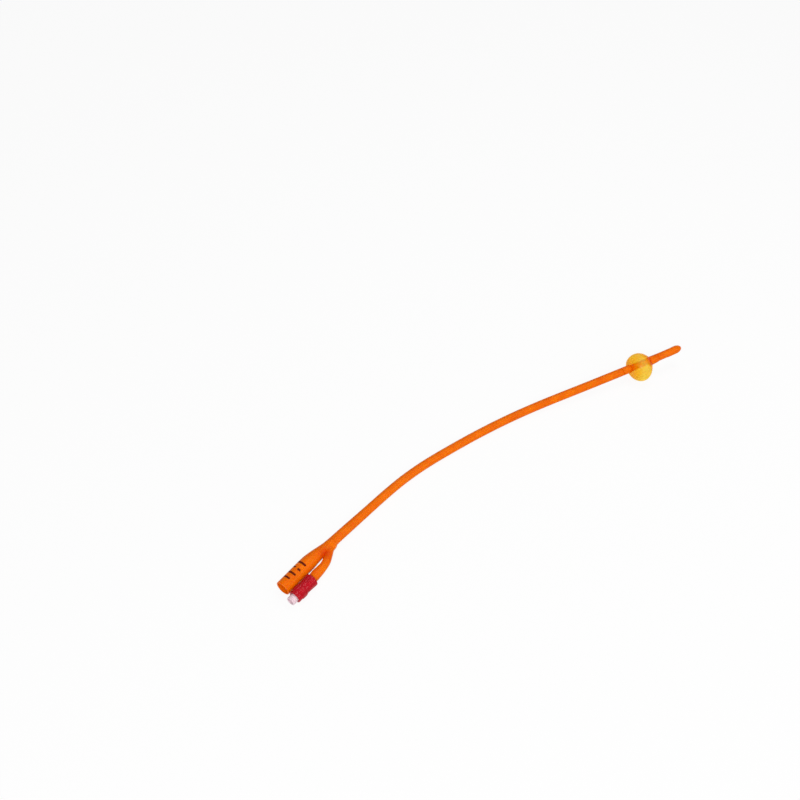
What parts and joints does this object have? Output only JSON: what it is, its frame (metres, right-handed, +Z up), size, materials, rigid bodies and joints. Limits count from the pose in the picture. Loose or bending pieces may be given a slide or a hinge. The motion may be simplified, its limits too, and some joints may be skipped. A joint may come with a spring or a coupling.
{
  "type": "foley urinary catheter",
  "caption": "Two-way rubber balloon catheter with a filled balloon, a drainage funnel and a spring check valve in a coloured sleeve.",
  "frame": {"origin": "on the floor, below the middle of the catheter's bounding box", "axes": "+X along the drainage funnel, from its mouth towards the shaft, +Z up, the inflation valve on the -Y side of the funnel"},
  "size_m": [0.3564, 0.112, 0.0226],
  "materials": {
    "latex": "satin",
    "balloon_film": "gloss",
    "red_plastic": "gloss",
    "white_plastic": "gloss",
    "seal_rubber": "matte",
    "spring_steel": "bright"
  },
  "bodies": {
    "catheter": {"catheter_body": "latex", "balloon": "balloon_film", "valve_sleeve": "red_plastic", "valve_body": "white_plastic", "valve_spring": "spring_steel", "valve_tail": "white_plastic"},
    "plunger": {"valve_plunger": "white_plastic", "plunger_seal": "seal_rubber"}
  },
  "joints": [
    {"name": "plunger_travel", "type": "slide", "parent": "catheter", "child": "plunger", "axis": [1, 0, 0], "range_m": [0, 0.0015], "stiffness_N_per_m": 300, "deforming": ["valve_spring"]}
  ]
}
